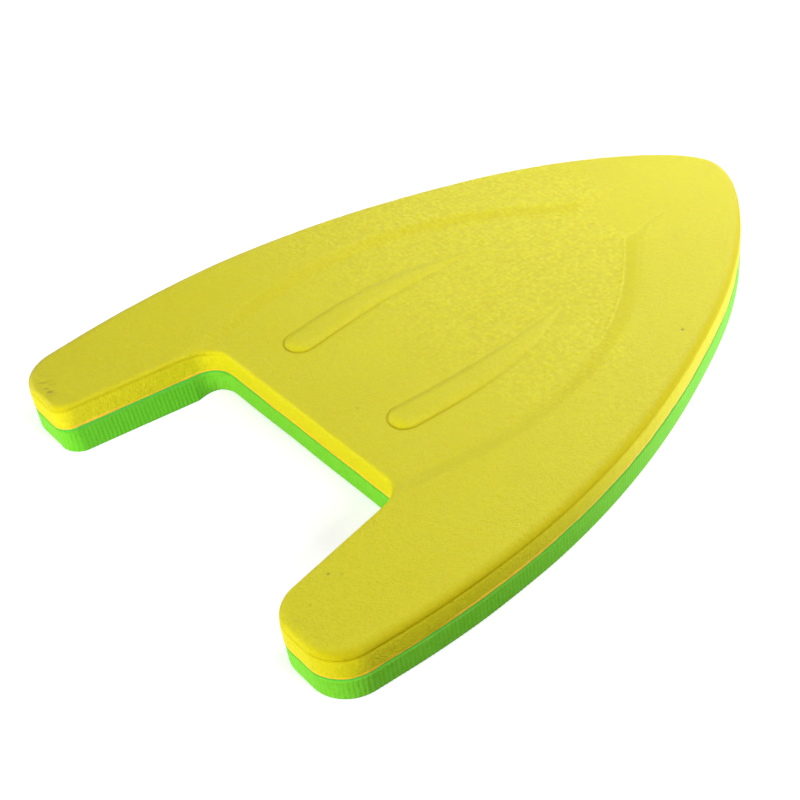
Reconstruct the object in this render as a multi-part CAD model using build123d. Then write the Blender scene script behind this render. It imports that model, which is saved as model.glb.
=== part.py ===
from build123d import *
import math
import os

# A-shaped swimming board of two foam sheets glued face to face.
# Millimetres. +Y points to the nose, +Z is up, the origin is on the underside
# at the middle of the bounding box. Board stations are measured from the leg tips.

# Sheet thicknesses, from the ground up
BOTTOM_THICKNESS = 15.0
FILM_THICKNESS = 0.3
TOP_THICKNESS = 14.5

# Plan outline: everything follows from the length
LENGTH = 410.0
NOSE_FLAT = 0.068 * LENGTH
NOSE_SIDE_X = 0.247 * LENGTH
NOSE_SIDE_Y = 0.7264 * LENGTH
NOSE_SIDE_ANGLE = -65.4
NOSE_HANDLE = 0.154 * LENGTH
FLANK_HANDLE = 0.2005 * LENGTH
LEG_SIDE_X = 0.3653 * LENGTH
LEG_SIDE_Y = 0.088 * LENGTH
LEG_SIDE_ANGLE = -95.5
LEG_HANDLE = 0.261 * LENGTH

# Hand notch between the legs
NOTCH_MOUTH_HALF = 0.238 * LENGTH
NOTCH_END_HALF = 0.2007 * LENGTH
NOTCH_DEPTH = 0.2243 * LENGTH
NOTCH_RADIUS = 15.5

# Roundings of each leg tip: outer corner, then inner corner
RIGHT_TIP_RADII = (21.5, 19.0)
LEFT_TIP_RADII = (25.0, 11.0)

# Edges
SHOULDER_RADIUS = 3.0
FOOT_RADIUS = 1.2
BAND_HEIGHT = 2.0
BAND_INSET = 0.4
FILM_INSET = 0.2

# Pressed panel in the top face, from the notch towards the nose. Its floor climbs forward.
PRESS_SHIFT = -3.5
PANEL_REAR_HALF = 73.0
PANEL_REAR_Y = 72.0
PANEL_WIDE_HALF = 90.0
PANEL_WIDE_Y = 165.0
PANEL_FRONT_HALF = 20.5
PANEL_FRONT_Y = 314.0
PANEL_REAR_FLARE = 9.0
PANEL_REAR_HANDLE = 31.0
PANEL_FLANK_HANDLE = 71.0
PANEL_FRONT_HANDLE = 38.5
PANEL_REAR_DEPTH = 4.5
PANEL_FRONT_DEPTH = 1.6
PANEL_BEVEL = 11.0
RAMP_START_Y = 300.0
RAMP_END_Y = 372.0

# Two raised thumb ridges inside the panel
RIDGE_HEIGHT = 2.0
RIDGE_REAR_Y = 118.4
RIDGE_BODY_Y = 128.0
RIDGE_TIP_Y = 251.0
RIDGE_INNER_X = 36.0
RIDGE_OUTER_X = 55.2
RIDGE_TIP_X = 36.0
RIDGE_OUTER_BOW = (4.0, 5.0)
RIDGE_INNER_BOW = (4.5, 6.5)

SEAM_Z = BOTTOM_THICKNESS + FILM_THICKNESS
TOP_Z = SEAM_Z + TOP_THICKNESS
CUT_CLEARANCE = 5.0


def station(x, y, z=0.0):
    """Point at distance x from the centre line and y forward of the leg tips."""
    return Vector(x, y - LENGTH / 2, z)


def heading(angle):
    """Unit vector in the plan at an angle in degrees from +X."""
    return Vector(math.cos(math.radians(angle)), math.sin(math.radians(angle)))


def closed_face(right_side):
    """Face bounded by the given right-hand edges and their mirror images."""
    left_side = [mirror(edge, about=Plane.YZ) for edge in right_side]
    return make_face(right_side + left_side)


def round_corners(face, corners):
    """Round the plan corners at the listed positions."""
    for x, y, radius in corners:
        nearest = face.vertices().sort_by_distance(station(x, y))[0]
        face = fillet(nearest, radius)
    return face


def board_outline(inset=0.0):
    """Plan outline, moved inwards by inset: pointed round nose, two legs and the notch."""
    nose_way = heading(NOSE_SIDE_ANGLE)
    leg_way = heading(LEG_SIDE_ANGLE)
    nose_side = station(NOSE_SIDE_X, NOSE_SIDE_Y) + heading(NOSE_SIDE_ANGLE - 90) * inset
    leg_side = station(LEG_SIDE_X, LEG_SIDE_Y) + heading(LEG_SIDE_ANGLE - 90) * inset
    leg_taper = math.tan(math.radians(-90 - LEG_SIDE_ANGLE))
    outer_x = LEG_SIDE_X - LEG_SIDE_Y * leg_taper - inset
    mouth_x = NOTCH_MOUTH_HALF + inset
    end_x = NOTCH_END_HALF + inset
    end_y = NOTCH_DEPTH + inset
    nose_tip = station(0, LENGTH - inset)
    right_side = [
        Bezier(nose_tip, nose_tip + Vector(NOSE_FLAT, 0), nose_side - nose_way * NOSE_HANDLE, nose_side),
        Bezier(nose_side, nose_side + nose_way * FLANK_HANDLE, leg_side - leg_way * LEG_HANDLE, leg_side),
        Line(leg_side, station(outer_x, inset)),
        Line(station(outer_x, inset), station(mouth_x, inset)),
        Line(station(mouth_x, inset), station(end_x, end_y)),
        Line(station(end_x, end_y), station(0, end_y)),
    ]
    corners = []
    for side, (outer_radius, inner_radius) in ((1, RIGHT_TIP_RADII), (-1, LEFT_TIP_RADII)):
        corners += [
            (side * outer_x, inset, outer_radius - inset),
            (side * mouth_x, inset, inner_radius - inset),
            (side * end_x, end_y, NOTCH_RADIUS + inset),
        ]
    return round_corners(closed_face(right_side), corners)


def floor_z(y):
    """Height of the panel floor at distance y forward of the leg tips."""
    travelled = (y - PANEL_REAR_Y) / (PANEL_FRONT_Y - PANEL_REAR_Y)
    return TOP_Z - PANEL_REAR_DEPTH + travelled * (PANEL_REAR_DEPTH - PANEL_FRONT_DEPTH)


def panel_face(grow, height):
    """Plan of the pressed panel, grown sideways, with every point at height(y)."""

    def corner(x, y):
        return station(x, y, height(y))

    front_x = PANEL_FRONT_HALF + 0.7 * grow
    front_y = PANEL_FRONT_Y + 0.7 * grow
    rear_x = PANEL_REAR_HALF + grow
    wide_x = PANEL_WIDE_HALF + grow
    right_side = [
        Line(corner(0, PANEL_REAR_Y), corner(rear_x, PANEL_REAR_Y)),
        Bezier(
            corner(rear_x, PANEL_REAR_Y),
            corner(rear_x + PANEL_REAR_FLARE, PANEL_REAR_Y + PANEL_REAR_HANDLE),
            corner(wide_x, PANEL_WIDE_Y - PANEL_REAR_HANDLE),
            corner(wide_x, PANEL_WIDE_Y),
        ),
        Bezier(
            corner(wide_x, PANEL_WIDE_Y),
            corner(wide_x, PANEL_WIDE_Y + PANEL_FLANK_HANDLE),
            corner(front_x + PANEL_FRONT_HANDLE, front_y - PANEL_FRONT_HANDLE),
            corner(front_x, front_y),
        ),
        Line(corner(front_x, front_y), corner(0, front_y)),
    ]
    return closed_face(right_side)


def side_profile(points, half_width):
    """Solid bar across the board whose side view is the listed (y, z) points."""
    profile = Polyline(*[station(0, y, z) for y, z in points], close=True)
    return extrude(make_face(profile), half_width, dir=(1, 0, 0), both=True)


def panel_cutter():
    """Tool for the pressed panel: bevelled sides, climbing floor and the front ramp."""
    floor = panel_face(0.0, floor_z)
    rim = panel_face(PANEL_BEVEL, lambda y: TOP_Z)
    above = TOP_Z + CUT_CLEARANCE
    ramp = side_profile(
        [
            (RAMP_START_Y, floor_z(RAMP_START_Y)),
            (RAMP_END_Y, TOP_Z),
            (RAMP_END_Y, above),
            (RAMP_START_Y, above),
        ],
        PANEL_FRONT_HALF,
    )
    return Pos(PRESS_SHIFT, 0, 0) * (loft([floor, rim]) + ramp)


def ridge():
    """Right-hand thumb ridge: round and high at the rear, pointed and flush in front."""
    base_z = floor_z(RIDGE_REAR_Y) - RIDGE_HEIGHT
    inner_rear = station(RIDGE_INNER_X, RIDGE_BODY_Y, base_z)
    outer_rear = station(RIDGE_OUTER_X, RIDGE_BODY_Y, base_z)
    rear = station((RIDGE_INNER_X + RIDGE_OUTER_X) / 2, RIDGE_REAR_Y, base_z)
    tip = station(RIDGE_TIP_X, RIDGE_TIP_Y, base_z)

    def side(start, bow):
        """Edge from a rear corner to the tip, bowed outwards at a third and at two thirds of its length."""
        third = (RIDGE_TIP_Y - RIDGE_BODY_Y) / 3
        return Bezier(start, start + Vector(bow[0], third), start + Vector(bow[1], 2 * third), tip)

    plan = [
        ThreePointArc(inner_rear, rear, outer_rear),
        side(outer_rear, RIDGE_OUTER_BOW),
        side(inner_rear, RIDGE_INNER_BOW),
    ]
    column = extrude(make_face(plan), TOP_THICKNESS, dir=(0, 0, 1))
    under_crest = side_profile(
        [
            (RIDGE_REAR_Y, base_z - CUT_CLEARANCE),
            (RIDGE_REAR_Y, floor_z(RIDGE_REAR_Y) + RIDGE_HEIGHT),
            (RIDGE_TIP_Y, floor_z(RIDGE_TIP_Y)),
            (RIDGE_TIP_Y, base_z - CUT_CLEARANCE),
        ],
        LENGTH,
    )
    return column & under_crest


def top_foam(outline):
    """Upper sheet: soft top edge, pressed panel with its bevel and two ridges."""
    slab = Pos(0, 0, SEAM_Z) * extrude(outline, TOP_THICKNESS)
    rim = slab.faces().sort_by(Axis.Z)[-1]
    sheet = fillet(rim.edges(), SHOULDER_RADIUS) - panel_cutter()
    thumb_ridge = ridge()
    for side in (thumb_ridge, mirror(thumb_ridge, about=Plane.YZ)):
        sheet = sheet + Pos(PRESS_SHIFT, 0, 0) * side
    return sheet


def bottom_foam(outline):
    """Lower sheet: full-width side up to a narrow neck band under the glue line."""
    side_height = BOTTOM_THICKNESS - BAND_HEIGHT
    side = extrude(outline, side_height)
    foot = side.faces().sort_by(Axis.Z)[0]
    neck = Pos(0, 0, side_height) * extrude(board_outline(BAND_INSET), BAND_HEIGHT)
    return fillet(foot.edges(), FOOT_RADIUS) + neck


def bond_film():
    """Thin layer of cured adhesive between the two sheets."""
    return Pos(0, 0, BOTTOM_THICKNESS) * extrude(board_outline(FILM_INSET), FILM_THICKNESS)


outline = board_outline()
solids = {
    "top_foam": top_foam(outline),
    "bond_film": bond_film(),
    "bottom_foam": bottom_foam(outline),
}
os.makedirs("parts", exist_ok=True)
for name, solid in solids.items():
    solid.label = name
    export_step(solid, f"parts/{name}.step")
    size = solid.bounding_box().size
    print(f"{name}: {size.X:.1f} x {size.Y:.1f} x {size.Z:.1f} mm, {solid.volume / 1000:.1f} cm3")
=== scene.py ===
import math

import bpy
import numpy as np
from mathutils import Matrix, Vector
from mathutils.geometry import delaunay_2d_cdt


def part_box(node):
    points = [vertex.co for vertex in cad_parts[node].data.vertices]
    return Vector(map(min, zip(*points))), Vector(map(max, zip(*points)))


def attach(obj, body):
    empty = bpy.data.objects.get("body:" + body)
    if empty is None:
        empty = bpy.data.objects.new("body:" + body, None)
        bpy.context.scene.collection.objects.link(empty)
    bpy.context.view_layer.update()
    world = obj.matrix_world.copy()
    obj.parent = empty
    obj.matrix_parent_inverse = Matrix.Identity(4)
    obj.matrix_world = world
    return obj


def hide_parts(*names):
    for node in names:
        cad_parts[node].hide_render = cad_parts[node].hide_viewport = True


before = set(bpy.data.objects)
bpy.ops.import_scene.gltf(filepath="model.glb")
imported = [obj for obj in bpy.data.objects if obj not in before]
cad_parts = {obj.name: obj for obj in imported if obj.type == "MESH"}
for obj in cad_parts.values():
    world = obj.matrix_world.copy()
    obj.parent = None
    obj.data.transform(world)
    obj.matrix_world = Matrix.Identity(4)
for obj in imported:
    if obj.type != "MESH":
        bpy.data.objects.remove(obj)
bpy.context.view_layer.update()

# A two-layer foam swimming board, built over its CAD frame.
# Shapes are worked out in millimetres: x across the board from its centre line,
# y forward from the leg tips, z up from the ground. add_mesh() turns them into metres.

MM = 0.001
top_low, top_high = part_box("top_foam")
_, film_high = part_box("bond_film")
bottom_low, bottom_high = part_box("bottom_foam")
TAIL_Y = top_low.y
LENGTH = (top_high.y - top_low.y) / MM
GROUND_Z = bottom_low.z / MM
NECK_TOP_Z = bottom_high.z / MM
SEAM_Z = film_high.z / MM
TOP_Z = top_high.z / MM

# Plan outline, as in the CAD part
NOSE_FLAT = 0.068 * LENGTH
NOSE_SIDE = np.array((0.247, 0.7264)) * LENGTH
NOSE_SIDE_ANGLE = math.radians(-65.4)
NOSE_HANDLE = 0.154 * LENGTH
FLANK_HANDLE = 0.2005 * LENGTH
LEG_SIDE = np.array((0.3653, 0.088)) * LENGTH
LEG_SIDE_ANGLE = math.radians(-95.5)
LEG_HANDLE = 0.261 * LENGTH
NOTCH_MOUTH = np.array((0.238 * LENGTH, 0.0))
NOTCH_END = np.array((0.2007, 0.2243)) * LENGTH
RIGHT_TIP_RADII = (21.5, 19.0)
LEFT_TIP_RADII = (25.0, 11.0)
NOTCH_RADIUS = 15.5
FOOT_RADIUS = 1.2

# Soft upper edge of the top layer: on the flanks, on the ends of the legs, in the notch
SHOULDER_WIDTHS = (5.6, 3.6, 1.9)
SHOULDER_DROPS = (3.4, 3.0, 2.0)

# Pressed panel and thumb ridges, as in the CAD part
PRESS_SHIFT = -3.5
PANEL_REAR = (73.0, 72.0)
PANEL_WIDE = (90.0, 165.0)
PANEL_FRONT = (20.5, 314.0)
PANEL_REAR_HANDLE = (9.0, 31.0)
PANEL_WIDE_REAR_HANDLE = (0.0, 31.0)
PANEL_WIDE_FRONT_HANDLE = (0.0, 71.0)
PANEL_FRONT_HANDLE = (38.5, -38.5)
CHANNEL_START = (19.0, 334.0)
CHANNEL_END = (18.0, LENGTH)
PANEL_REAR_DEPTH = 4.5
PANEL_FRONT_DEPTH = 1.6
PANEL_BEVEL = 11.0
PANEL_LIP = 0.42
LIP_START_Y = 190.0
LIP_FULL_Y = 260.0
RAMP_START_Y = 300.0
RAMP_END_Y = 372.0
RIDGE_HEIGHT = 2.0
RIDGE_BODY_Y = 128.0
RIDGE_TIP_Y = 251.0
RIDGE_INNER_X = 36.0
RIDGE_OUTER_X = 55.2
RIDGE_TIP_X = 36.0
RIDGE_SIDE = 6.0
RIDGE_OUTER_BOW = (4.0, 5.0)
RIDGE_INNER_BOW = (4.5, 6.5)

# Mesh spacing
TOP_SPACING = 0.8
UNDER_SPACING = 2.0
EDGE_SPACING = 0.6
RIB_PITCH = 2.34
POINTS_PER_RIB = 8


# ---------------------------------------------------------------- small tools


def smooth(value, low, high):
    """0 below low, 1 above high, and an S-curve between them."""
    t = np.clip((value - low) / (high - low), 0.0, 1.0)
    return t * t * (3.0 - 2.0 * t)


FIELD_COLUMNS = 1024
FIELD_ROWS = 256


def patchy(x, y, pitch, seed, wrap=FIELD_COLUMNS):
    """Smooth random field from -1 to 1 with features about pitch across; it repeats after wrap cells of x."""
    table = np.random.default_rng(seed).uniform(-1.0, 1.0, (FIELD_COLUMNS, FIELD_ROWS))
    u = x / pitch
    v = y / pitch
    column = np.floor(u).astype(int)
    row = np.floor(v).astype(int)
    fu = smooth(u - column, 0.0, 1.0)
    fv = smooth(v - row, 0.0, 1.0)
    left = column % wrap
    right = (column + 1) % wrap
    low = row % FIELD_ROWS
    high = (row + 1) % FIELD_ROWS
    near = table[left, low] * (1 - fu) + table[right, low] * fu
    far = table[left, high] * (1 - fu) + table[right, high] * fu
    return near * (1 - fv) + far * fv


def heading(angle):
    """Unit vector at an angle from the x axis."""
    return np.array((math.cos(angle), math.sin(angle)))


def bezier(a, b, c, d, count=200):
    """Points along a cubic curve, without its last point."""
    t = np.linspace(0.0, 1.0, count, endpoint=False)[:, None]
    a, b, c, d = (np.asarray(p, float) for p in (a, b, c, d))
    return a * (1 - t) ** 3 + 3 * b * t * (1 - t) ** 2 + 3 * c * t * t * (1 - t) + d * t**3


def rounded_corner(before, corner, after, radius, count=60):
    """Points of the arc that rounds the corner between two straight edges."""
    to_before = (before - corner) / np.linalg.norm(before - corner)
    to_after = (after - corner) / np.linalg.norm(after - corner)
    half = math.acos(float(to_before @ to_after)) / 2
    middle = (to_before + to_after) / np.linalg.norm(to_before + to_after)
    centre = corner + middle * radius / math.sin(half)
    start = corner + to_before * radius / math.tan(half) - centre
    end = corner + to_after * radius / math.tan(half) - centre
    turn = math.pi - 2 * half
    t = np.linspace(0.0, 1.0, count)[:, None]
    return centre + (start * np.sin((1 - t) * turn) + end * np.sin(t * turn)) / math.sin(turn)


# ---------------------------------------------------------------- plan outline


def half_outline(outer_radius, inner_radius):
    """Right half of the outline, from the nose to the middle of the notch."""
    nose_way = heading(NOSE_SIDE_ANGLE)
    leg_way = heading(LEG_SIDE_ANGLE)
    nose_top = np.array((0.0, LENGTH))
    nose_handle = NOSE_SIDE - nose_way * NOSE_HANDLE
    flank_start = NOSE_SIDE + nose_way * FLANK_HANDLE
    flank_end = LEG_SIDE - leg_way * LEG_HANDLE
    tip_outer = LEG_SIDE + leg_way * LEG_SIDE[1] / -leg_way[1]
    notch_middle = np.array((0.0, NOTCH_END[1]))
    stretches = [
        bezier(nose_top, (NOSE_FLAT, LENGTH), nose_handle, NOSE_SIDE, 400),
        bezier(NOSE_SIDE, flank_start, flank_end, LEG_SIDE, 700),
        rounded_corner(LEG_SIDE, tip_outer, NOTCH_MOUTH, outer_radius),
        rounded_corner(tip_outer, NOTCH_MOUTH, NOTCH_END, inner_radius),
        rounded_corner(NOTCH_MOUTH, NOTCH_END, notch_middle, NOTCH_RADIUS),
        notch_middle[None],
    ]
    return np.concatenate(stretches)


def outline_loop():
    """Dense closed outline, clockwise from the nose; the leg ends are rounded a little differently."""
    right = half_outline(*RIGHT_TIP_RADII)
    left = half_outline(*LEFT_TIP_RADII) * (-1, 1)
    return np.concatenate([right, left[1:-1][::-1]])


ZONE_FADE = 9.0
CORNER_FADE = 7.0


class Rim:
    """The outline cut into equal steps, with each point's outward direction.

    Four soft zones run from 0 to 1 along it: inside is the notch with the inner sides of the legs,
    tip the ends of the legs, notch the front of the notch, left_leg the inner side of the left leg."""

    def __init__(self, spacing, repeat=1):
        loop = outline_loop()
        closed = np.vstack([loop, loop[:1]])
        steps = np.linalg.norm(np.diff(closed, axis=0), axis=1)
        travelled = np.concatenate([[0.0], np.cumsum(steps)])
        self.length = travelled[-1]
        self.count = repeat * round(self.length / (spacing * repeat))
        self.s = np.arange(self.count) * self.length / self.count
        self.xy = self.at(travelled, closed, self.s)
        ahead = self.at(travelled, closed, (self.s + 0.7) % self.length)
        behind = self.at(travelled, closed, (self.s - 0.7) % self.length)
        way = ahead - behind
        way /= np.linalg.norm(way, axis=1)[:, None]
        self.out = np.stack([-way[:, 1], way[:, 0]], axis=1)
        x, y = self.xy.T
        in_notch = (np.abs(x) < NOTCH_MOUTH[0] + 2) & (y < NOTCH_END[1] + 1)
        notch_front = in_notch & (np.abs(x) < NOTCH_END[0] - 6)
        left_leg = in_notch & (x < -NOTCH_END[0] + 8) & (y < NOTCH_END[1] - 10)
        self.inside = self.soften(in_notch, ZONE_FADE)
        self.tip = self.soften(y < 3.0, ZONE_FADE) * (1 - self.inside)
        self.notch = self.soften(notch_front, CORNER_FADE)
        self.left_leg = self.soften(left_leg, CORNER_FADE)

    @staticmethod
    def at(travelled, closed, s):
        """Points at the distances s along the closed line."""
        return np.stack([np.interp(s, travelled, closed[:, k]) for k in (0, 1)], axis=1)

    def soften(self, values, reach):
        """Moving average of a value along the rim, over reach millimetres each way."""
        half = max(1, round(reach * self.count / self.length))
        padded = np.concatenate([values[-half:], values, values[:half]]).astype(float)
        total = np.concatenate([[0.0], np.cumsum(padded)])
        return (total[2 * half + 1 :] - total[: -2 * half - 1]) / (2 * half + 1)

    def patchy(self, z, pitch, seed):
        """Random field over the side wall that joins up where the rim closes."""
        wrap = min(FIELD_COLUMNS, round(self.length / pitch))
        return patchy(self.s * wrap / self.length, np.asarray(z) / pitch, 1.0, seed, wrap)

    def zoned(self, flank, tip, inside):
        """A value that changes between the flanks, the ends of the legs and the notch."""
        return flank + (tip - flank) * self.tip + (inside - flank) * self.inside

    def ring(self, outset, z):
        """One closed ring of points at an outset from the outline and a height."""
        xy = self.xy + self.out * np.broadcast_to(outset, self.count)[:, None]
        return np.column_stack([xy, np.broadcast_to(z, self.count)])


# ---------------------------------------------------------------- top face relief


def panel_edges(grow):
    """Half width of the pressed panel at each station: (y, x) along its side."""
    rear = np.array((PANEL_REAR[0] + grow, PANEL_REAR[1]))
    wide = np.array((PANEL_WIDE[0] + grow, PANEL_WIDE[1]))
    front = np.array(PANEL_FRONT) + 0.7 * grow
    rear_side = bezier(rear, rear + PANEL_REAR_HANDLE, wide - PANEL_WIDE_REAR_HANDLE, wide)
    front_side = bezier(wide, wide + PANEL_WIDE_FRONT_HANDLE, front + PANEL_FRONT_HANDLE, front)
    channel = np.array([CHANNEL_START, CHANNEL_END]) + (0.25 * grow, 0.0)
    path = np.concatenate([rear_side, front_side, front[None], channel])
    return path[:, 1], path[:, 0]


FLOOR_EDGE = panel_edges(0.0)
RIM_EDGE = panel_edges(PANEL_BEVEL)


def panel_depth(y):
    """Depth of the panel floor below the top face."""
    slope = (PANEL_REAR_DEPTH - PANEL_FRONT_DEPTH) / (PANEL_FRONT[1] - PANEL_REAR[1])
    flat = PANEL_REAR_DEPTH - (y - PANEL_REAR[1]) * slope
    ramp_start = PANEL_REAR_DEPTH - (RAMP_START_Y - PANEL_REAR[1]) * slope
    ramp = ramp_start * (1.0 - smooth(y, RAMP_START_Y, RAMP_END_Y))
    return np.minimum(flat, ramp)


def panel_relief(x, y):
    """How far the pressed panel lowers the top face."""
    half = np.abs(x - PRESS_SHIFT)
    floor_x = np.interp(y, *FLOOR_EDGE)
    rim_x = np.interp(y, *RIM_EDGE)
    t = (half - floor_x) / (rim_x - floor_x)
    side = 0.6 * np.clip(t, 0, 1) + 0.4 * smooth(t, 0.0, 1.0)
    lip = PANEL_LIP * np.exp(-(((half - floor_x + 0.8) / 0.8) ** 2)) * smooth(y, LIP_START_Y, LIP_FULL_Y)
    lip *= 1.0 - smooth(y, RAMP_START_Y + 20.0, RAMP_END_Y)
    return lip - panel_depth(y) * (1.0 - side)


# Darker, less glossy colour on the panel's bevel: the stretches over which it fades in on each side, and out
# in front
DULL_LEFT_Y = (80.0, 125.0)
DULL_RIGHT_Y = (130.0, 210.0)
DULL_FRONT_Y = (332.0, 312.0)


def bevel_zone(x, y):
    """Darker, less glossy colour on the sloping side of the panel: most of the left side, the front part of
    the right.
    """
    outward = np.abs(x - PRESS_SHIFT) - np.interp(y, *FLOOR_EDGE)
    slope = smooth(outward, -0.5, 1.5) * smooth(outward, 0.95 * PANEL_BEVEL, 0.7 * PANEL_BEVEL)
    left = smooth(y, *DULL_LEFT_Y)
    right = 0.7 * smooth(y, *DULL_RIGHT_Y)
    return slope * np.where(x < PRESS_SHIFT, left, right) * smooth(y, *DULL_FRONT_Y)


def ridge_sides(y):
    """Distance of the inner and of the outer edge of a thumb ridge from the middle of the panel, at y."""
    third = (RIDGE_TIP_Y - RIDGE_BODY_Y) / 3
    tip = np.array((RIDGE_TIP_X, RIDGE_TIP_Y))
    edges = []
    for x, bow in ((RIDGE_INNER_X, RIDGE_INNER_BOW), (RIDGE_OUTER_X, RIDGE_OUTER_BOW)):
        rear = np.array((x, RIDGE_BODY_Y))
        side = bezier(rear, rear + (bow[0], third), rear + (bow[1], 2 * third), tip)
        edges.append(np.interp(y, side[:, 1], side[:, 0]))
    return edges


def ridge_inset(x, y):
    """Distance inside the edge of the nearer thumb ridge; negative outside it."""
    half = np.abs(x - PRESS_SHIFT)
    inner_x, outer_x = ridge_sides(y)
    body = np.minimum(outer_x - half, half - inner_x)
    radius = (RIDGE_OUTER_X - RIDGE_INNER_X) / 2
    rear = radius - np.hypot(half - RIDGE_INNER_X - radius, y - RIDGE_BODY_Y)
    past_tip = RIDGE_TIP_Y - y
    return np.where(y < RIDGE_BODY_Y, rear, np.minimum(body, past_tip))


def ridge_foot(x, y):
    """Pressed line along the foot of a ridge: deep at its rear end and right edge, faint on its left."""
    from_middle = x - PRESS_SHIFT
    inner_x, outer_x = ridge_sides(y)
    from_axis = from_middle - np.sign(from_middle) * (inner_x + outer_x) / 2
    right_edge = smooth(from_axis, -3.0, 3.0)
    rear_end = smooth(y, RIDGE_BODY_Y + 4.0, RIDGE_BODY_Y - 4.0)
    depth = 0.3 + 0.7 * np.maximum(right_edge, rear_end)
    return depth * np.exp(-(((ridge_inset(x, y) + 0.25) / 0.55) ** 2))


def ridge_relief(x, y):
    """Thumb ridges: full height at the round rear end, running out at the tip."""
    inset = ridge_inset(x, y)
    along = np.clip((RIDGE_TIP_Y - y) / (RIDGE_TIP_Y - RIDGE_BODY_Y), 0.0, 1.0)
    height = RIDGE_HEIGHT * along**0.4
    pressed_line = -0.35 * ridge_foot(x, y) * smooth(along, 0.0, 0.2)
    dome = np.sin(0.5 * np.pi * np.clip(inset / RIDGE_SIDE, 0.0, 1.0))
    return height * dome**0.8 + pressed_line


# Cloth texture: where it fades in from the rear, and where it stops at the front
WEAVE_PITCH = 3.4
WEAVE_DEPTH = 0.26
WEAVE_FADE_Y = (128.0, 215.0)
WEAVE_STOP_Y = 322.0


def weave_mask(x, y):
    """Where the pressed cloth texture shows: the front of the panel and the left flank."""
    rear = smooth(y, *WEAVE_FADE_Y)
    front_limit = WEAVE_STOP_Y + 24.0 * smooth(-x, 12.0, 30.0)
    front = 1.0 - smooth(y, front_limit - 10.0, front_limit + 8.0)
    half = x - PRESS_SHIFT
    beyond_rim = smooth(half - np.interp(y, *FLOOR_EDGE), -1.0, 3.0)
    bare_flank = beyond_rim * smooth(y, 232.0, 262.0)
    faint_flank = 0.55 * smooth(half, 88.0, 104.0)
    return rear * front * (1.0 - bare_flank) * (1.0 - faint_flank)


def weave_relief(x, y):
    """Uneven pillows in a basket pattern, left by the cloth in the press."""
    wx = x + 1.6 * patchy(x, y, 17.0, 11) + 1.0 * patchy(x, y, 6.5, 12)
    wy = y + 1.6 * patchy(x, y, 19.0, 13) + 1.0 * patchy(x, y, 6.5, 14)
    column = np.floor(wx / WEAVE_PITCH)
    row = np.floor(wy / WEAVE_PITCH)
    u = wx / WEAVE_PITCH - column - 0.5
    v = wy / WEAVE_PITCH - row - 0.5
    over = np.mod(column + row, 2.0)
    pillow = (np.cos(np.pi * u) * np.cos(np.pi * v)) ** 0.6
    size = np.random.default_rng(15).uniform(0.2, 1.0, (256, 256))
    height = size[column.astype(int) % 256, row.astype(int) % 256]
    pebble = 0.28 * patchy(x, y, 2.7, 16) + 0.16 * patchy(x, y, 1.4, 17)
    return WEAVE_DEPTH * (pillow * height * (0.62 + 0.38 * over) + pebble - 0.3)


# Small pits in the skin: x, y, radius, depth
PITS = (
    (99.5, 272.0, 0.8, 0.7),
    (101.3, 33.2, 0.65, 0.5),
    (106.0, 37.6, 0.6, 0.22),
    (110.5, 16.2, 0.6, 0.2),
    (18.5, 114.5, 0.65, 0.25),
)


def pit_field(x, y):
    """1 at the middle of a pit, falling to 0 outside, and the depth there."""
    strength = np.zeros_like(x)
    depth = np.zeros_like(x)
    for px, py, radius, deep in PITS:
        fall = np.exp(-(((x - px) ** 2 + (y - py) ** 2) / radius**2))
        strength = np.maximum(strength, fall * min(1.0, deep / 0.5))
        depth = depth + deep * fall
    return strength, depth


def scuff_field(x, y):
    """Chafed patch on the end of the left leg."""
    near = np.exp(-(((x + 121.0) / 9.0) ** 2 + ((y - 8.5 + 0.25 * (x + 121.0)) / 3.2) ** 2))
    return near * smooth(patchy(x - 0.6 * y, y * 0.5, 1.6, 31), 0.1, 0.7)


def skin_relief(x, y):
    """Slight unevenness of the moulded skin, a faint crease on the left flank and streaks on the right."""
    swell = 0.16 * patchy(x, y, 46.0, 21) + 0.05 * patchy(x, y, 14.0, 22)
    grain = 0.04 * patchy(x, y, 2.2, 23)
    crease_y = 206.5 + 0.6 * patchy(x, y * 0, 20.0, 24)
    on_flank = smooth(-x, 62.0, 72.0) * smooth(x, -128.0, -112.0)
    crease = -0.1 * np.exp(-(((y - crease_y) / 0.9) ** 2)) * on_flank
    streak_zone = smooth(x, 104.0, 122.0) * smooth(y, 70.0, 86.0) * (1 - smooth(y, 112.0, 130.0))
    streak = 0.07 * streak_zone * patchy(x + 0.55 * y, (y - 0.55 * x) * 4.0, 7.0, 25)
    return swell + grain + crease + streak


def woven_zone(x, y):
    """Strength of the cloth texture: where the press left it, and faint on the thumb ridges."""
    off_ridges = 1.0 - 0.75 * smooth(ridge_inset(x, y), -0.5, 1.0)
    return weave_mask(x, y) * off_ridges


def relief(x, y):
    """Height of the top face above its nominal level, before its edges are softened."""
    _, pits = pit_field(x, y)
    scuff = -0.25 * scuff_field(x, y)
    cloth = weave_relief(x, y) * woven_zone(x, y)
    return panel_relief(x, y) + ridge_relief(x, y) + cloth + skin_relief(x, y) + scuff - pits


# ---------------------------------------------------------------- mesh building


def crossings(loop, y):
    """Where the closed loop crosses a line of constant y, from left to right."""
    a = loop
    b = np.roll(loop, -1, axis=0)
    cut = (a[:, 1] <= y) != (b[:, 1] <= y)
    t = (y - a[cut, 1]) / (b[cut, 1] - a[cut, 1])
    return np.sort(a[cut, 0] + t * (b[cut, 0] - a[cut, 0]))


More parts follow.
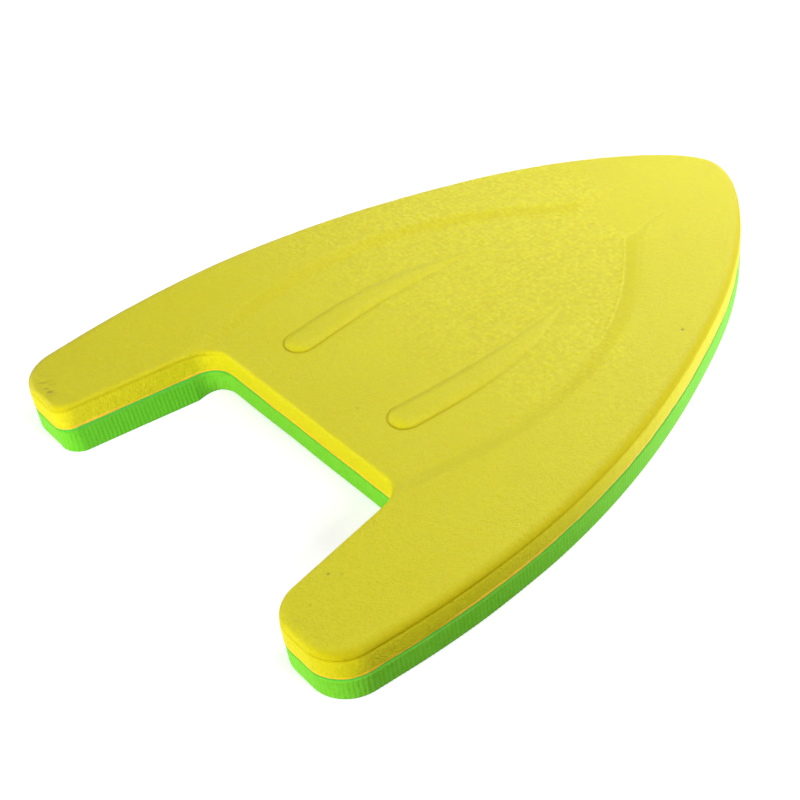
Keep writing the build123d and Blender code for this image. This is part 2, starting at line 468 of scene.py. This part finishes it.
def inner_points(loop, spacing):
    """Even triangular grid of points inside the loop, clear of its edge."""
    clear = 0.55 * spacing
    low = loop.min(axis=0)
    high = loop.max(axis=0)
    rise = spacing * math.sqrt(3) / 2
    rows = []
    for k in range(int((high[1] - low[1]) / rise)):
        y = low[1] + (k + 0.5) * rise
        x = np.arange(low[0] + spacing * 0.5 * (k % 2), high[0], spacing)
        keep = np.ones(len(x), bool)
        for level in (y - clear, y, y + clear):
            cuts = crossings(loop, level)
            for shift in (-clear, clear):
                keep &= np.searchsorted(cuts, x + shift) % 2 == 1
        rows.append(np.stack([x[keep], np.full(keep.sum(), y)], axis=1))
    return np.concatenate(rows)


def filled(loop, points):
    """Triangles that fill the loop, using its corners and the points inside it."""
    flat = np.concatenate([loop, points]) if len(points) else loop
    count = len(loop)
    edges = [(i, (i + 1) % count) for i in range(count)]
    corners = [Vector(p) for p in flat.tolist()]
    _, _, faces, origins, _, _ = delaunay_2d_cdt(corners, edges, [], 1, 1e-7)
    return [tuple(origins[i][0] for i in face) for face in faces]


def bands(ring_count, count, first):
    """Quads that join neighbouring rings of count points, the first ring at index first."""
    quads = []
    i = np.arange(count)
    j = (i + 1) % count
    for ring in range(ring_count - 1):
        a = first + ring * count
        b = a + count
        quads += np.stack([a + i, a + j, b + j, b + i], axis=1).tolist()
    return quads


def add_mesh(name, points, faces, material, marks):
    """Mesh object from millimetre points, with named point values for its material."""
    place = np.asarray(points, float) * MM + (0.0, TAIL_Y, 0.0)
    mesh = bpy.data.meshes.new(name)
    mesh.from_pydata(place.tolist(), [], faces)
    mesh.update()
    for mark, values in marks.items():
        layer = mesh.attributes.new(mark, "FLOAT", "POINT")
        layer.data.foreach_set("value", np.asarray(values, np.float32))
    mesh.shade_smooth()
    mesh.materials.append(material)
    piece = bpy.data.objects.new(name, mesh)
    bpy.context.scene.collection.objects.link(piece)
    return piece


def stack(rings, top_cap=None, bottom_cap=None):
    """Points and faces of rings joined from the top down, closed by a filled cap at each end.

    A cap is the points inside its ring, as rows of x, y, z."""
    count = len(rings[0])
    caps = [cap if cap is not None else np.zeros((0, 3)) for cap in (top_cap, bottom_cap)]
    points = np.concatenate([*rings, *caps])
    faces = bands(len(rings), count, 0)
    for ring, cap, start, turn in (
        (0, caps[0], len(rings) * count, 1),
        (len(rings) - 1, caps[1], len(rings) * count + len(caps[0]), -1),
    ):
        index = np.concatenate([np.arange(count) + ring * count, np.arange(len(cap)) + start])
        for face in filled(rings[ring][:, :2], cap[:, :2]):
            faces.append(index[list(face)][::turn].tolist())
    return points, faces


def along_rings(rim, values, inner):
    """One value per point: those of each ring in turn, then those of the points inside the cap."""
    return np.concatenate([np.broadcast_to(value, rim.count) for value in values] + [inner])


# ---------------------------------------------------------------- top foam

SHOULDER_STEPS = (1.0, 0.85, 0.7, 0.55, 0.42, 0.3, 0.2, 0.12, 0.06, 0.02, 0.0)
CREASE = 0.7
WALL_ROWS = 16
# Rounding of the wall into the flat underside: inset, height above the seam
LOWER_EDGE = ((0.02, 0.38), (0.12, 0.2), (0.3, 0.06), (0.6, 0.0), (2.2, 0.0))
# Along the ridges, the painted shade of the pressed line fades out towards the nose
FOOT_SHADE_Y = (215.0, 130.0)


def build_top(material):
    """Yellow layer: pressed top face, soft shoulder, cut side wall and a flat underside."""
    rim = Rim(EDGE_SPACING)
    width = rim.zoned(*SHOULDER_WIDTHS)
    rise = rim.zoned(*SHOULDER_DROPS)
    rings = []
    walls = []
    crease_shades = []
    for u in SHOULDER_STEPS:
        flat = rim.ring(-width * u - 0.25, 0.0)
        fall = rise * (1 - math.sqrt(1 - (1 - u) ** 2))
        flat[:, 2] = TOP_Z + relief(flat[:, 0], flat[:, 1]) - fall
        rings.append(flat)
        walls.append(0.6 * (1 - u) ** 2)
        # Painted shade over the shoulder, darkest towards the wall: full on the flanks, weak at the leg ends
        # and in the notch
        crease_shades.append(0.8 * (1 - u) ** 1.5 * rim.zoned(1.0, 0.3, 0.4) * (1 - rim.notch))
    shoulder_z = rings[-1][:, 2]
    lowest = SEAM_Z + 0.55
    wobble = 0.16 * rim.patchy(0.0, 30.0, 41)
    for row in range(WALL_ROWS):
        t = (row + 0.35) / WALL_ROWS
        z = shoulder_z + (lowest - shoulder_z) * t
        groove = np.exp(-(((shoulder_z - z - 0.3) / 0.75) ** 2))
        groove = groove * (1 - 0.45 * rim.inside) * (1 - 0.9 * rim.notch)
        cells = 0.07 * rim.patchy(z, 1.3, 42) + 0.08 * rim.patchy(z, 3.1, 43)
        crown = 0.16 * math.sin(math.pi * t) - 0.05
        rings.append(rim.ring(crown - CREASE * groove + cells + wobble * t, z))
        walls.append(1.0)
        # Painted shade in the groove under the shoulder
        crease_shades.append(groove)
    for inset, height in LOWER_EDGE:
        rings.append(rim.ring(wobble - 0.05 - inset, SEAM_Z + height))
        walls.append(1.0)
        crease_shades.append(0.0)
    flat = inner_points(rings[0][:, :2], TOP_SPACING)
    face = np.column_stack([flat, TOP_Z + relief(flat[:, 0], flat[:, 1])])
    points, faces = stack(rings, top_cap=face)
    # Painted shade along the foot of each thumb ridge, from the pressed line
    foot = ridge_foot(face[:, 0], face[:, 1]) * smooth(face[:, 1], *FOOT_SHADE_Y)
    on_top = points[:, 2] > SEAM_Z + 5.0
    speck, _ = pit_field(points[:, 0], points[:, 1])
    scuff = scuff_field(points[:, 0], points[:, 1])
    woven = woven_zone(points[:, 0], points[:, 1])
    cloth = weave_relief(points[:, 0], points[:, 1]) / WEAVE_DEPTH * woven
    marks = {
        "wall": along_rings(rim, walls, np.zeros(len(face))),
        "crease": along_rings(rim, crease_shades, foot),
        "cloth": cloth,
        "woven": woven * on_top,
        "bevel": bevel_zone(points[:, 0], points[:, 1]) * on_top,
        "speck": speck * on_top,
        "scuff": scuff * on_top,
    }
    return add_mesh("top_foam_skin", points, faces, material, marks)


# ---------------------------------------------------------------- bottom foam

RIB_DEPTH = 0.38
RIB_STRENGTHS = (0.5, 0.4, 0.4)
RIB_LOW_Z = GROUND_Z + 1.3
RIB_HIGH_Z = NECK_TOP_Z - 2.2
RIB_ROWS = 15
NECK_INSET = 0.8
NECK_DROPS = (0.12, 0.4, 0.8, 1.2, 1.6, 1.9)
FOOT_ANGLES = (18, 36, 54, 72, 90)
LEFT_LEG_LEAN = 4.6


def build_bottom(material):
    """Green layer: ribbed side, a narrow smooth neck under the seam and a faintly rippled underside."""
    rim = Rim(RIB_PITCH / POINTS_PER_RIB, POINTS_PER_RIB)
    phase = (np.arange(rim.count) % POINTS_PER_RIB) / POINTS_PER_RIB
    groove = 1 - np.sin(np.pi * phase) ** 0.8
    strength = rim.zoned(*RIB_STRENGTHS) * (0.85 + 0.3 * rim.patchy(0.0, 11.0, 51))
    wobble = 0.16 * rim.patchy(0.0, 30.0, 52)
    lean = LEFT_LEG_LEAN * rim.left_leg

    def leaning(z):
        """The cut inside the left leg isn't upright: it spreads towards the ground."""
        return wobble + lean * (NECK_TOP_Z - z) / (NECK_TOP_Z - GROUND_Z)

    rings = [rim.ring(wobble - NECK_INSET - edge, NECK_TOP_Z) for edge in (1.0, 0.5)]
    # Painted shade: deep green in the rib grooves, a little on the neck under the seam, and over the whole
    # cut side inside the left leg
    painted_shades = [0.0, 0.0]
    necks = [1.0, 1.0]
    for drop in NECK_DROPS:
        cells = 0.05 * rim.patchy(NECK_TOP_Z - drop, 1.6, 53)
        round_top = 0.25 * math.exp(-((drop / 0.3) ** 2))
        z = NECK_TOP_Z - drop
        rings.append(rim.ring(leaning(z) - NECK_INSET - round_top + cells, z))
        painted_shades.append(0.25)
        necks.append(1.0)
    for z in np.linspace(RIB_HIGH_Z, RIB_LOW_Z, RIB_ROWS):
        run_out = min(1.0, (RIB_HIGH_Z - z) / 0.5 + 0.45)
        cells = 0.05 * rim.patchy(z, 1.6, 54) + 0.05 * rim.patchy(z, 4.0, 55)
        rings.append(rim.ring(leaning(z) - RIB_DEPTH * groove * strength * run_out + cells, z))
        # Painted shade in the grooves and all over the cut side inside the left leg
        painted_shades.append(groove * strength * run_out + rim.left_leg)
        necks.append(0.0)
    for angle in np.radians(FOOT_ANGLES):
        inset = FOOT_RADIUS * (1 - math.cos(angle))
        z = GROUND_Z + FOOT_RADIUS * (1 - math.sin(angle))
        fade = math.cos(angle)
        rings.append(rim.ring(leaning(z) - RIB_DEPTH * groove * strength * fade - inset, z))
        # Painted shade in the grooves and inside the left leg, also on the rounded foot
        painted_shades.append(groove * strength * fade + rim.left_leg)
        necks.append(0.0)
    flat = inner_points(rings[-1][:, :2], UNDER_SPACING)
    dish = 0.18 * smooth(patchy(flat[:, 0], flat[:, 1], 38.0, 56), -1, 1)
    under = np.column_stack([flat, GROUND_Z + dish])
    points, faces = stack(rings, bottom_cap=under)
    plain = np.zeros(len(under))
    marks = {"groove": along_rings(rim, painted_shades, plain), "neck": along_rings(rim, necks, plain)}
    return add_mesh("bottom_foam_skin", points, faces, material, marks)


# ---------------------------------------------------------------- glue line


BEAD_BACK = 0.4
BEAD_BULGE = 0.5
BEAD_OVERLAP = 0.75


def build_film(material):
    """Thin glue film, with the uneven bead squeezed out of the seam around its edge."""
    rim = Rim(EDGE_SPACING)
    middle = (SEAM_Z + NECK_TOP_Z) / 2
    half = (SEAM_Z - NECK_TOP_Z) / 2
    swell = 0.12 * rim.patchy(0.0, 5.0, 61) + 0.1 * rim.patchy(0.0, 17.0, 62)
    rings = [rim.ring(-2.0, SEAM_Z), rim.ring(-0.7, SEAM_Z)]
    for angle in np.radians(np.arange(-75, 76, 15)):
        outset = swell - BEAD_BACK + BEAD_BULGE * math.cos(angle)
        z = middle - (half + BEAD_OVERLAP + 0.3 * swell) * math.sin(angle)
        rings.append(rim.ring(outset, z))
    rings += [rim.ring(-0.7, NECK_TOP_Z), rim.ring(-2.0, NECK_TOP_Z)]
    points, faces = stack(rings)
    return add_mesh("glue_line", points, faces, material, {})


# ---------------------------------------------------------------- materials


class Paint:
    """A material under construction: each method adds one node and returns its output."""

    def __init__(self, name):
        self.material = bpy.data.materials.new(name)
        self.material.use_nodes = True
        self.tree = self.material.node_tree
        self.shader = self.tree.nodes["Principled BSDF"]
        place = self.tree.nodes.new("ShaderNodeTexCoord")
        self.place = place.outputs["Object"]

    def plug(self, value, socket):
        """Joins an output to an input, or sets the input to a plain value."""
        if isinstance(value, bpy.types.NodeSocket):
            self.tree.links.new(value, socket)
        else:
            socket.default_value = value

    def noise(self, size, detail=2.0, roughness=0.5):
        """Noise with features about size millimetres across."""
        node = self.tree.nodes.new("ShaderNodeTexNoise")
        self.plug(self.place, node.inputs["Vector"])
        self.plug(1.0 / (size * MM), node.inputs["Scale"])
        self.plug(detail, node.inputs["Detail"])
        self.plug(roughness, node.inputs["Roughness"])
        return node.outputs["Fac"]

    def cells(self, size):
        """Distance from the middle of random cells about size millimetres across."""
        node = self.tree.nodes.new("ShaderNodeTexVoronoi")
        self.plug(self.place, node.inputs["Vector"])
        self.plug(1.0 / (size * MM), node.inputs["Scale"])
        return node.outputs["Distance"]

    def axis(self, number):
        """The x, y or z place of the point, in metres."""
        node = self.tree.nodes.new("ShaderNodeSeparateXYZ")
        self.plug(self.place, node.inputs["Vector"])
        return node.outputs[number]

    def mark(self, name):
        """A value stored at the points of the mesh."""
        node = self.tree.nodes.new("ShaderNodeAttribute")
        node.attribute_name = name
        return node.outputs["Fac"]

    def spread(self, value, low, high, to_low=0.0, to_high=1.0):
        """Moves a range of values smoothly onto another range."""
        node = self.tree.nodes.new("ShaderNodeMapRange")
        node.interpolation_type = "SMOOTHSTEP"
        for socket, number in zip(node.inputs[1:5], (low, high, to_low, to_high)):
            socket.default_value = number
        self.plug(value, node.inputs["Value"])
        return node.outputs["Result"]

    def maths(self, operation, a, b):
        """Result of one arithmetic step on two values."""
        node = self.tree.nodes.new("ShaderNodeMath")
        node.operation = operation
        self.plug(a, node.inputs[0])
        self.plug(b, node.inputs[1])
        return node.outputs["Value"]

    def times(self, a, b):
        return self.maths("MULTIPLY", a, b)

    def plus(self, a, b):
        return self.maths("ADD", a, b)

    def minus(self, a, b):
        return self.maths("SUBTRACT", a, b)

    def blend(self, factor, a, b):
        """Colour between a and b."""
        node = self.tree.nodes.new("ShaderNodeMixRGB")
        self.plug(factor, node.inputs["Fac"])
        for value, socket in ((a, node.inputs["Color1"]), (b, node.inputs["Color2"])):
            self.plug((*value, 1.0) if isinstance(value, tuple) else value, socket)
        return node.outputs["Color"]

    def bump(self, height, depth, under=None):
        """Surface relief about depth millimetres deep."""
        node = self.tree.nodes.new("ShaderNodeBump")
        self.plug(depth * MM, node.inputs["Distance"])
        self.plug(height, node.inputs["Height"])
        if under is not None:
            self.plug(under, node.inputs["Normal"])
        return node.outputs["Normal"]

    def finish(self, **inputs):
        """Plugs the named inputs of the shader, and returns the material."""
        for name, value in inputs.items():
            self.plug(value, self.shader.inputs[name.replace("_", " ")])
        return self.material


# Linear base colours
YELLOW = (0.645, 0.595, 0.006)
YELLOW_PALE = (0.690, 0.640, 0.014)
YELLOW_DEEP = (0.585, 0.510, 0.004)
YELLOW_CREASE_SHADE = (0.480, 0.390, 0.003)
YELLOW_DOT_HIGHLIGHT = (0.740, 0.690, 0.018)
SCUFF = (0.230, 0.180, 0.030)
SPECK = (0.090, 0.080, 0.012)
GREEN = (0.166, 0.545, 0.022)
GREEN_PALE = (0.190, 0.585, 0.038)
GREEN_DEEP = (0.090, 0.440, 0.012)
GREEN_NECK = (0.060, 0.480, 0.055)
AMBER = (0.860, 0.560, 0.014)
AMBER_DEEP = (0.840, 0.440, 0.010)


def yellow_foam():
    """Closed-cell foam with a pressed skin: fine grain on top, open cut cells on the side."""
    paint = Paint("yellow_foam")
    wall = paint.mark("wall")
    grain = paint.noise(1.0, 3.0, 0.75)
    mottle = paint.noise(3.0, 3.0, 0.7)
    clouds = paint.noise(60.0, 2.0)
    colour = paint.blend(paint.spread(mottle, 0.35, 0.65, 0.0, 0.6), YELLOW, YELLOW_PALE)
    colour = paint.blend(paint.spread(clouds, 0.4, 0.7, 0.0, 0.15), colour, YELLOW_DEEP)
    pores = paint.spread(paint.cells(0.9), 0.1, 0.5, 1.0, 0.0)
    cut_pores = paint.times(pores, paint.times(wall, 0.5))
    colour = paint.blend(cut_pores, colour, YELLOW_DEEP)
    colour = paint.blend(paint.spread(grain, 0.5, 0.72, 0.0, 0.9), colour, YELLOW_DEEP)
    # Painted highlight on the raised pillows of the cloth texture, painted shade in the hollows between them
    cloth = paint.mark("cloth")
    colour = paint.blend(paint.spread(cloth, 0.0, 0.35, 0.0, 0.6), colour, YELLOW_PALE)
    colour = paint.blend(paint.spread(cloth, -0.3, 0.0, 0.45, 0.0), colour, YELLOW_DEEP)
    # Painted highlight on the raised dots of the cloth texture, which the bump below also lifts
    dots = paint.spread(paint.cells(2.9), 0.15, 0.65, 1.0, 0.0)
    dots = paint.times(dots, paint.spread(paint.noise(4.0, 2.0), 0.35, 0.6, 0.1, 0.8))
    dots = paint.times(dots, paint.mark("woven"))
    colour = paint.blend(dots, colour, YELLOW_DOT_HIGHLIGHT)
    bevel = paint.mark("bevel")
    colour = paint.blend(paint.times(bevel, 0.33), colour, YELLOW_DEEP)
    # Painted shade in the creases: over the shoulder, in the groove under it and along the foot of the ridges
    crease = paint.mark("crease")
    colour = paint.blend(crease, colour, YELLOW_CREASE_SHADE)
    colour = paint.blend(paint.mark("scuff"), colour, SCUFF)
    colour = paint.blend(paint.times(paint.mark("speck"), 0.8), colour, SPECK)
    skin = paint.bump(grain, 0.5)
    skin = paint.bump(mottle, 0.35, skin)
    skin = paint.bump(dots, 0.18, skin)
    skin = paint.bump(paint.times(pores, wall), -0.15, skin)
    roughness = paint.spread(mottle, 0.3, 0.7, 0.34, 0.46)
    roughness = paint.plus(roughness, paint.times(wall, 0.25))
    sheen = paint.spread(crease, 0.0, 0.8, 0.26, 0.05)
    sheen = paint.minus(sheen, paint.times(bevel, 0.07))
    return paint.finish(Base_Color=colour, Roughness=roughness, Normal=skin, Specular_IOR_Level=sheen)


def green_foam():
    """The same foam in green, with painted shade at the bottom of its side grooves and over the inner side of
    the left leg, and darker on its neck.
    """
    paint = Paint("green_foam")
    grain = paint.noise(0.9, 3.0, 0.7)
    mottle = paint.noise(3.0, 3.0, 0.7)
    colour = paint.blend(paint.spread(mottle, 0.35, 0.65), GREEN, GREEN_PALE)
    pores = paint.spread(paint.cells(0.9), 0.1, 0.5, 1.0, 0.0)
    colour = paint.blend(paint.times(pores, 0.4), colour, GREEN_DEEP)
    # Painted shade from the groove mark: rib grooves, neck rows and the inner side of the left leg
    colour = paint.blend(paint.times(paint.mark("groove"), 0.7), colour, GREEN_DEEP)
    colour = paint.blend(paint.times(paint.mark("neck"), 0.8), colour, GREEN_NECK)
    skin = paint.bump(grain, 0.12)
    skin = paint.bump(pores, -0.12, skin)
    roughness = paint.spread(mottle, 0.3, 0.7, 0.58, 0.72)
    return paint.finish(Base_Color=colour, Roughness=roughness, Normal=skin, Specular_IOR_Level=0.22)


def amber_glue():
    """Set contact glue: amber, a little glossy, uneven along the seam."""
    paint = Paint("amber_glue")
    lumps = paint.noise(2.5, 3.0, 0.6)
    runs = paint.noise(14.0, 2.0)
    colour = paint.blend(paint.spread(lumps, 0.3, 0.7), AMBER, AMBER_DEEP)
    colour = paint.blend(paint.spread(runs, 0.45, 0.7, 0.0, 0.5), colour, YELLOW_DEEP)
    skin = paint.bump(lumps, 0.15)
    return paint.finish(Base_Color=colour, Roughness=0.45, Normal=skin)


# ---------------------------------------------------------------- the board


for build, material, node in (
    (build_top, yellow_foam, "top_foam"),
    (build_film, amber_glue, "bond_film"),
    (build_bottom, green_foam, "bottom_foam"),
):
    piece = build(material())
    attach(piece, "root")
    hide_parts(node)


# ---------------------------------------------------------------- stage, light and camera


FLOOR_GLOW = 0.68


def white_floor():
    """Plain white studio table that glows: evenly white to the camera, and with uneven painted light towards
    the board, as if from cards around it.
    """
    paint = Paint("white_floor")
    tone = paint.blend(paint.spread(paint.noise(300.0), 0.3, 0.7), (0.50, 0.50, 0.50), (0.52, 0.52, 0.52))
    white = (1.0, 1.0, 1.0, 1.0)
    paint.finish(Base_Color=tone, Roughness=0.9, Emission_Color=white, Emission_Strength=FLOOR_GLOW)
    nose_end = paint.spread(paint.axis(1), -0.13, 0.11, 0.02, 2.1)
    leg_end = paint.spread(paint.axis(1), -0.23, -0.08, 0.6, 0.0)
    leg_end = paint.times(leg_end, paint.spread(paint.axis(0), 0.10, 0.16, 1.0, 0.0))
    # Painted light: for all but camera rays the floor glows, brighter beyond the nose and the leg ends
    cards = paint.tree.nodes.new("ShaderNodeEmission")
    paint.plug(paint.plus(nose_end, leg_end), cards.inputs["Strength"])
    rays = paint.tree.nodes.new("ShaderNodeLightPath")
    choice = paint.tree.nodes.new("ShaderNodeMixShader")
    paint.plug(rays.outputs["Is Camera Ray"], choice.inputs["Fac"])
    paint.plug(cards.outputs["Emission"], choice.inputs[1])
    paint.plug(paint.shader.outputs["BSDF"], choice.inputs[2])
    paint.plug(choice.outputs["Shader"], paint.tree.nodes["Material Output"].inputs["Surface"])
    return paint.material


def add_floor(size=30.0):
    """Square table top that reaches size metres each way."""
    corners = [(-size, -size, 0.0), (size, -size, 0.0), (size, size, 0.0), (-size, size, 0.0)]
    mesh = bpy.data.meshes.new("floor")
    mesh.from_pydata(corners, [], [(0, 1, 2, 3)])
    mesh.materials.append(white_floor())
    floor = bpy.data.objects.new("floor", mesh)
    floor.location.z = GROUND_Z * MM
    bpy.context.scene.collection.objects.link(floor)


def add_softbox(name, place, size, power, mirrored):
    """Square area light at place, turned towards the middle of the board."""
    light = bpy.data.lights.new(name, "AREA")
    light.shape = "SQUARE"
    light.size = size
    light.energy = power
    lamp = bpy.data.objects.new(name, light)
    lamp.location = place
    lamp.visible_glossy = mirrored
    lamp.rotation_euler = (-Vector(place)).to_track_quat("-Z", "Y").to_euler()
    bpy.context.scene.collection.objects.link(lamp)


CAMERA_ANGLES = (54.66, 38.97, -7.92)
CAMERA_TARGET = (0.0156 * LENGTH, 0.4258 * LENGTH, SEAM_Z)
CAMERA_DISTANCE = 1.936 * LENGTH
CAMERA_LENS = 65.4
CAMERA_SHIFT = (-0.0409, -0.0474)


def add_camera():
    """Camera above the right of the legs, looking down along the board, rolled a little."""
    azimuth, elevation, roll = (math.radians(angle) for angle in CAMERA_ANGLES)
    target = Vector(CAMERA_TARGET) * MM + Vector((0.0, TAIL_Y, 0.0))
    back = Vector(
        (
            math.sin(azimuth) * math.cos(elevation),
            -math.cos(azimuth) * math.cos(elevation),
            math.sin(elevation),
        )
    )
    level = Vector((math.cos(azimuth), math.sin(azimuth), 0.0))
    rise = back.cross(level)
    right = level * math.cos(roll) + rise * math.sin(roll)
    up = rise * math.cos(roll) - level * math.sin(roll)
    data = bpy.data.cameras.new("camera")
    data.lens = CAMERA_LENS
    data.shift_x, data.shift_y = CAMERA_SHIFT
    camera = bpy.data.objects.new("camera", data)
    turn = Matrix((right, up, back)).transposed().to_4x4()
    camera.matrix_world = Matrix.Translation(target + back * CAMERA_DISTANCE * MM) @ turn
    bpy.context.scene.collection.objects.link(camera)
    bpy.context.scene.camera = camera


def add_world(strength):
    """Even white light from all round."""
    world = bpy.data.worlds.new("studio")
    world.use_nodes = True
    world.node_tree.nodes["Background"].inputs["Color"].default_value = (1.0, 1.0, 1.0, 1.0)
    world.node_tree.nodes["Background"].inputs["Strength"].default_value = strength
    bpy.context.scene.world = world


WORLD_STRENGTH = 0.14
# Softboxes: place and width in metres, power in watts, and whether glossy surfaces mirror it
SOFTBOXES = {
    "overhead": ((0.1, -0.1, 1.6), 0.9, 2.4, True),
    "key_from_nose": ((-0.1, 0.74, 0.48), 0.35, 5.8, True),
    "back_left": ((-0.84, 0.62, 0.5), 0.24, 2.5, True),
    "fill_left": ((-1.5, -0.5, 0.45), 0.6, 5.5, True),
    "low_from_legs": ((0.0, -1.3, 0.11), 0.2, 16.5, False),
    "right_side": ((1.6, 0.1, 1.05), 0.5, 23.0, True),
}

add_floor()
add_world(WORLD_STRENGTH)
for name, (place, size, power, mirrored) in SOFTBOXES.items():
    add_softbox(name, place, size, power, mirrored)
add_camera()
bpy.context.scene.view_settings.view_transform = "Standard"
